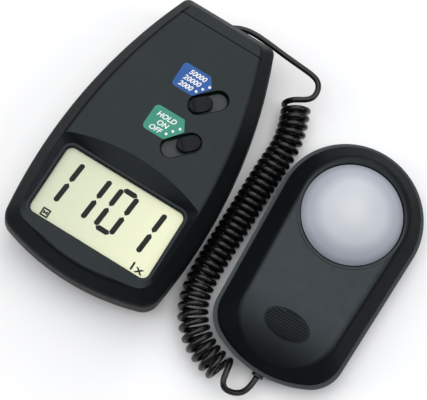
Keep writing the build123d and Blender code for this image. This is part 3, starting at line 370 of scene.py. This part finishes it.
def rounded(corners, radii, steps=6):
    """Closed outline with its corners rounded by arcs of the given radii."""
    outline = []
    count = len(corners)
    for index, radius in enumerate(radii):
        before, corner, after = (Vector(corners[(index + k) % count]) for k in (-1, 0, 1))
        to_before, to_after = (before - corner).normalized(), (after - corner).normalized()
        half = to_before.angle(to_after) / 2
        run = radius / math.tan(half)
        centre = corner + (to_before + to_after).normalized() * (radius / math.sin(half))
        start, end = corner + to_before * run - centre, corner + to_after * run - centre
        turn = math.atan2(start.x * end.y - start.y * end.x, start.dot(end))
        for step in range(steps + 1):
            angle = turn * step / steps
            spot = Matrix.Rotation(angle, 2) @ start + centre
            outline.append((spot.x, spot.y))
    return outline


def on_panel(outline):
    """An outline given from the meter's middle, in millimetres, as metres in the shared frame."""
    return [((x + METER_X) * MM, y * MM) for x, y in outline]


def disc(x, y, radius, sides=20):
    return [(x + radius * math.cos(2 * math.pi * i / sides), y + radius * math.sin(2 * math.pi * i / sides))
            for i in range(sides)]


CAPITAL = 0.69


def lettering(name, words, x, y, height, low, high, material, slant=0.28, width=1.0, spacing=1.0):
    """Printed words as a thin raised mesh, the middle of their height at y."""
    curve = bpy.data.curves.new(name, "FONT")
    curve.body = words
    curve.size = 1.0
    curve.shear = slant
    curve.offset = 0.02
    curve.space_character = spacing
    curve.align_x = "CENTER"
    curve.extrude = 0.5
    curve.resolution_u = 4
    made = bpy.data.objects.new(name + "_text", curve)
    bpy.context.scene.collection.objects.link(made)
    bpy.context.view_layer.update()
    mesh = bpy.data.meshes.new_from_object(made.evaluated_get(bpy.context.evaluated_depsgraph_get()))
    bpy.data.objects.remove(made)
    scale = height / CAPITAL
    flat = Matrix.Diagonal((scale * width * MM, scale * MM, (high - low) * MM, 1))
    spot = Vector(((x + METER_X) * MM, (y - height / 2) * MM, (low + high) / 2 * MM))
    mesh.transform(Matrix.Translation(spot) @ flat)
    mesh.name = name
    mesh.materials.clear()
    mesh.materials.append(material)
    made = bpy.data.objects.new(name, mesh)
    bpy.context.scene.collection.objects.link(made)
    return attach(made, "meter")


LABEL_LOW, LABEL_HIGH, PRINT_HIGH = PANEL_Z - 0.02, PANEL_Z + 0.04, PANEL_Z + 0.06
DOT_RADIUS = 0.52
MARK_HEIGHT = 1.95


def label(name, corners, radii, material, dots):
    """Printed plate with rounded corners and a row of dots for the switch's places."""
    outline = on_panel(rounded(corners, radii))
    points, faces = slab(outline, LABEL_LOW * MM, LABEL_HIGH * MM)
    piece(name, points, faces, material, "meter", "white_plastic")
    marks = [slab(on_panel(disc(x, y, DOT_RADIUS)), LABEL_HIGH * MM, PRINT_HIGH * MM) for x, y in dots]
    piece(name + "_dots", *join(marks), label_white, "meter", "white_plastic")


label("range_label", [(-5.9, 22.5), (3.3, 22.6), (8.2, 28.9), (5.4, 32.9), (-5.9, 32.9)],
      [1.6, 1.4, 0.7, 0.9, 1.6], label_blue, [(7.1, 29.0), (5.3, 27.0), (3.7, 24.95)])
label("power_label", [(-6.4, 2.65), (3.2, 2.7), (8.2, 9.1), (5.9, 13.35), (-6.2, 13.3)],
      [1.8, 1.4, 0.7, 0.9, 1.8], label_green, [(6.3, 9.3), (4.5, 7.15), (2.9, 5.0)])
MARKS = (("range", "50000", 1.0, 30.6), ("range", "20000", 0.1, 27.8), ("range", "2000", -1.0, 24.9),
         ("power", "HOLD", -0.2, 10.4), ("power", "ON", -0.3, 7.5), ("power", "OFF", -1.8, 4.7))
for switch, mark, x, y in MARKS:
    lettering(switch + "_mark_" + mark, mark, x, y, MARK_HEIGHT, LABEL_HIGH, PRINT_HIGH, label_white)


# ---------------------------------------------------------------- display
SEGMENT = 2.03
STROKE_GAP = 6.55
DIGIT_MIDDLE = WINDOW_Y + 2.1
DIGIT_HALF = 9.5
DIGIT_SLANT = math.tan(math.radians(4.8))
SEGMENT_GAP = 0.32
LONE_REACH = 0.4
BLUNT = 0.6
TIP = 0.4
INK_LOW, INK_HIGH = GLASS_Z, GLASS_Z + 0.05


def upright(x, inner, outer, half=SEGMENT / 2):
    """Upright segment, pointed at its inner end and blunt at its outer end, before the digit is slanted."""
    way = 1 if outer > inner else -1
    shoulder, blunt = inner + way * half, outer - way * half * BLUNT
    shape = [(x, inner), (x + half, shoulder), (x + half, blunt), (x + half * TIP, outer),
             (x - half * TIP, outer), (x - half, blunt), (x - half, shoulder)]
    return shape if way > 0 else shape[::-1]


def level(y, left, right, half=SEGMENT / 2):
    """Level segment, pointed at both ends."""
    return [(left, y), (left + half, y - half), (right - half, y - half),
            (right, y), (right - half, y + half), (left + half, y + half)]


def digit(right, segments):
    """Slabs of one digit, its right stroke at the given place. Without a top bar its strokes are longer."""
    left, top, gap = right - STROKE_GAP, DIGIT_HALF - SEGMENT / 2, SEGMENT_GAP
    outer = top - gap + (LONE_REACH if "a" not in segments else 0.0)
    shapes = {"b": upright(right, gap, outer), "c": upright(right, -gap, -outer),
              "f": upright(left, gap, outer), "e": upright(left, -gap, -outer),
              "a": level(top, left + gap, right - gap), "d": level(-top, left + gap, right - gap)}
    slabs = []
    for key in segments:
        outline = [(x + y * DIGIT_SLANT, y + DIGIT_MIDDLE) for x, y in shapes[key]]
        slabs.append(slab(on_panel(outline), INK_LOW * MM, INK_HIGH * MM))
    return slabs


digits = []
for right, segments in ((-17.6, "bc"), (-5.9, "bc"), (6.0, "abcdef"), (17.8, "bc")):
    digits += digit(right, segments)
piece("display_digits", *join(digits), segment_ink, "meter", "black_plastic")

# Small boxed H: a frame of four bars, with two uprights and a crossbar in it
HOLD_X, HOLD_Y, HOLD_SIDE, HOLD_LINE = -18.9, WINDOW_Y - 11.9, 3.3, 0.6
HOLD_STROKE = 0.62
HOLD_HEIGHT = HOLD_SIDE - 3.4 * HOLD_LINE
HOLD_SLIT = 0.02


def bar(x, y, width, height):
    left, right, low, high = x - width / 2, x + width / 2, y - height / 2, y + height / 2
    return [(left, low), (right, low), (right, high), (left, high)]


edge = (HOLD_SIDE - HOLD_LINE) / 2
marks = [bar(HOLD_X, HOLD_Y + side * edge, HOLD_SIDE, HOLD_LINE) for side in (-1, 1)]
marks += [bar(HOLD_X + side * edge, HOLD_Y, HOLD_LINE, HOLD_SIDE - 2 * HOLD_LINE - HOLD_SLIT)
          for side in (-1, 1)]
marks += [bar(HOLD_X + side * HOLD_STROKE, HOLD_Y, HOLD_LINE, HOLD_HEIGHT) for side in (-1, 1)]
marks += [bar(HOLD_X, HOLD_Y, 2 * HOLD_STROKE - HOLD_LINE, HOLD_LINE)]
piece("display_hold_mark", *join([slab(on_panel(m), INK_LOW * MM, INK_HIGH * MM) for m in marks]),
      segment_ink, "meter", "black_plastic")
lettering("display_unit", "lx", 20.2, WINDOW_Y - 11.7, 3.0, INK_LOW, INK_HIGH, segment_ink,
          slant=0.0, width=1.35, spacing=1.3)


# ---------------------------------------------------------------- cord
CORD = 2.3
CURL_RADIUS = 4.9
CURL_Z = 6.2
CURL_PITCH = 2.66
CURL_GAP = 0.55
CURL_PARTS = 48
CORD_STEP = 0.62
CORD_SIDES = 14
LOOSE_START, LOOSE_END, LOOSE_REACH = 1.0, 7.0, 1.6
CURL_POINTS = [(36.9, 49.4), (39.2, 44.2), (41.3, 37.5), (42.3, 30.5), (41.7, 22.0), (41.6, 9.0),
               (41.6, -5.0), (41.5, -16.3), (41.4, -26.5), (42.1, -34.8), (44.6, -41.9), (49.0, -47.8),
               (54.8, -52.0), (61.2, -54.6), (67.4, -55.6)]
METER_EXIT = (-0.887, 59.014, 13.0)
METER_LEAD = [METER_EXIT, (1.564, 61.071, 13.0), (7.5, 62.7, 13.0), (15.0, 62.3, 12.9), (23.0, 61.5, 12.7),
              (30.5, 61.0, 12.4), (36.2, 60.7, 12.1), (40.0, 59.8, 11.7), (41.8, 56.4, 11.3),
              (41.44, 52.136, 11.1), (38.87, 50.587, 11.1)]
SENSOR_EXIT = (78.2, -50.5, 5.0)
SENSOR_LEAD = [(67.749, -57.873, 11.1), (68.204, -60.839, 11.1), (72.3, -61.2, 8.9), (76.8, -58.6, 6.6),
               (78.2, -53.7, 5.0), SENSOR_EXIT]


def spline_points(points, steps=24):
    """Points along a smooth line with the given control points, from the meter's middle in millimetres."""
    curve = bpy.data.curves.new("route", "CURVE")
    curve.dimensions = "3D"
    curve.resolution_u = steps
    line = curve.splines.new("NURBS")
    line.points.add(len(points) - 1)
    for spot, point in zip(line.points, points):
        spot.co = (*point, 1)
    line.order_u = 3
    line.use_endpoint_u = True
    made = bpy.data.objects.new("route", curve)
    bpy.context.scene.collection.objects.link(made)
    bpy.context.view_layer.update()
    mesh = bpy.data.meshes.new_from_object(made.evaluated_get(bpy.context.evaluated_depsgraph_get()))
    found = [v.co.copy() for v in mesh.vertices]
    bpy.data.objects.remove(made)
    bpy.data.meshes.remove(mesh)
    if (found[0] - Vector(points[0])).length > (found[-1] - Vector(points[0])).length:
        found.reverse()
    return found


class Line:
    """A row of points that can be read by the distance along it."""

    def __init__(self, points):
        self.points = points
        self.marks = [0.0]
        for a, b in zip(points, points[1:]):
            self.marks.append(self.marks[-1] + (b - a).length)
        self.length = self.marks[-1]

    def at(self, mark):
        mark = min(max(mark, 0.0), self.length)
        low, high = 0, len(self.marks) - 1
        while high - low > 1:
            middle = (low + high) // 2
            if self.marks[middle] <= mark:
                low = middle
            else:
                high = middle
        step = self.marks[high] - self.marks[low]
        return self.points[low].lerp(self.points[high], (mark - self.marks[low]) / step)

    def way(self, mark, near=CORD / 2):
        return (self.at(mark + near) - self.at(mark - near)).normalized()

    def bend(self, mark, near=CORD):
        mark = min(max(mark, 2 * near), self.length - 2 * near)
        return self.way(mark - near).angle(self.way(mark + near)) / (2 * near)


def curl_marks(line):
    """Distances along the curls' middle line, one for each part of a turn, looser at both ends."""
    marks = [0.0]
    while marks[-1] < line.length or (len(marks) - 1) % CURL_PARTS:
        inside = 1 - CURL_RADIUS * line.bend(marks[-1])
        pitch = max(CURL_PITCH, (CORD + CURL_GAP) / inside)
        pitch += LOOSE_START * math.exp(-marks[-1] / LOOSE_REACH)
        pitch += LOOSE_END * math.exp(min(marks[-1] - line.length, 0) / LOOSE_REACH)
        marks.append(marks[-1] + pitch / CURL_PARTS)
    nearest = min(range(len(marks)), key=lambda index: abs(marks[index] - line.length))
    turns = round(nearest / CURL_PARTS)
    marks = marks[:turns * CURL_PARTS + 1]
    return [mark * line.length / marks[-1] for mark in marks]


def helix_points():
    """The wound part of the cord, read from the curls' middle line."""
    line = Line(spline_points([(x, y, CURL_Z) for x, y in CURL_POINTS]))
    up = Vector((0, 0, 1))
    found = []
    for index, mark in enumerate(curl_marks(line)):
        angle = math.pi / 2 + 2 * math.pi * index / CURL_PARTS
        left = up.cross(line.way(mark))
        found.append(line.at(mark) + left * (CURL_RADIUS * math.cos(angle))
                     + up * (CURL_RADIUS * math.sin(angle)))
    return found


def even_points(points, step):
    """The same way along a row of points, in even steps."""
    line = Line(points)
    count = max(2, round(line.length / step))
    return [line.at(line.length * index / count) for index in range(count + 1)]


def eased(points, rounds):
    """The same row of points with its small corners worn down, its ends kept."""
    for _ in range(rounds):
        between = [(a + b * 2 + c) / 4 for a, b, c in zip(points, points[1:], points[2:])]
        points = [points[0]] + between + [points[-1]]
    return points


def tube(points, radius, sides):
    """Round tube along a row of points, closed at both ends."""
    rings, faces = [], []
    side = None
    for index, point in enumerate(points):
        way = (points[min(index + 1, len(points) - 1)] - points[max(index - 1, 0)]).normalized()
        side = way.orthogonal() if side is None else side - way * side.dot(way)
        side = side.normalized()
        other = way.cross(side)
        for k in range(sides):
            angle = 2 * math.pi * k / sides
            rings.append(point + side * (radius * math.cos(angle)) + other * (radius * math.sin(angle)))
    for index in range(len(points) - 1):
        for k in range(sides):
            a, b = index * sides + k, index * sides + (k + 1) % sides
            faces.append((a, b, b + sides, a + sides))
    faces.append(tuple(range(sides - 1, -1, -1)))
    faces.append(tuple(range(len(rings) - sides, len(rings))))
    return rings, faces


route = spline_points(METER_LEAD) + helix_points() + spline_points(SENSOR_LEAD)
route = eased(even_points(eased(even_points(route, CORD_STEP), 3), CORD_STEP), 2)
route = [at_meter(*point) for point in route]
cord = piece("curly_cord", *tube(route, CORD / 2 * MM, CORD_SIDES), cord_jacket, None, "cord", smooth=True)
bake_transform(cord)
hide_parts("cord_curls", "cord_lead_meter", "cord_lead_sensor")
print("cord length", round(Line(route).length, 4))


# ---------------------------------------------------------------- camera, floor and light
CAMERA_PLACE = Vector((17.45, -111.6, 461.6)) * MM
CAMERA_TARGET = Vector((-5.49, -4.78, 20.0)) * MM
CAMERA_ROLL = math.radians(19.664)
CAMERA_LENS = 103.12

camera_data = bpy.data.cameras.new("camera")
camera = bpy.data.objects.new("camera", camera_data)
bpy.context.scene.collection.objects.link(camera)
camera_data.sensor_fit = "AUTO"
camera_data.sensor_width = 36.0
camera_data.lens = CAMERA_LENS
camera_data.clip_start, camera_data.clip_end = 0.05, 20.0
ahead = (CAMERA_TARGET - CAMERA_PLACE).normalized()
level_right = ahead.cross(Vector((0, 0, 1))).normalized()
level_up = level_right.cross(ahead)
right = level_right * math.cos(CAMERA_ROLL) + level_up * math.sin(CAMERA_ROLL)
up = level_up * math.cos(CAMERA_ROLL) - level_right * math.sin(CAMERA_ROLL)
camera.location = CAMERA_PLACE
camera.rotation_euler = Matrix((right, up, -ahead)).transposed().to_euler()
bpy.context.scene.camera = camera


def floor_material():
    """Plain pale paper."""
    material, tree, shader = new_material("floor_paper")
    place = place_in_mm(tree)
    slow = noise(tree, place, 0.004, 2.0)
    tint = ramp(tree, slow, "Fac", 0.3, 0.7, (0.95, 0.95, 0.95), (0.97, 0.97, 0.97))
    link(tree, tint, "Color", shader, "Base Color")
    shader.inputs["Roughness"].default_value = 0.9
    shader.inputs["Specular IOR Level"].default_value = 0.1
    return material


FLOOR_RADIUS, FLOOR_Z = 4.0, -0.0002
bpy.ops.mesh.primitive_circle_add(vertices=96, radius=FLOOR_RADIUS, fill_type="NGON",
                                  location=(0, 0, FLOOR_Z))
floor = bpy.context.object
floor.name = "floor"
floor.data.materials.append(floor_material())


def lamp(name, where, size, power):
    """Square soft lamp that looks at the middle of the scene."""
    data = bpy.data.lights.new(name, "AREA")
    data.shape = "SQUARE"
    data.size = size
    data.energy = power
    made = bpy.data.objects.new(name, data)
    bpy.context.scene.collection.objects.link(made)
    made.location = where
    made.rotation_euler = (-Vector(where)).to_track_quat("-Z", "Y").to_euler()


lamp("softbox_top", (-0.3, 0.35, 1.9), 2.6, 40.5)
lamp("softbox_side", (-1.35, -0.7, 1.0), 0.8, 6.0)
lamp("softbox_back", (-0.35, 1.5, 0.85), 0.9, 5.0)
lamp("softbox_right", (1.3, 0.4, 1.1), 0.8, 4.5)

world = bpy.data.worlds.new("studio")
bpy.context.scene.world = world
world.use_nodes = True
background = world.node_tree.nodes["Background"]
background.inputs["Color"].default_value = (0.9, 0.93, 1.0, 1)
background.inputs["Strength"].default_value = 0.18
bpy.context.scene.view_settings.view_transform = "Standard"
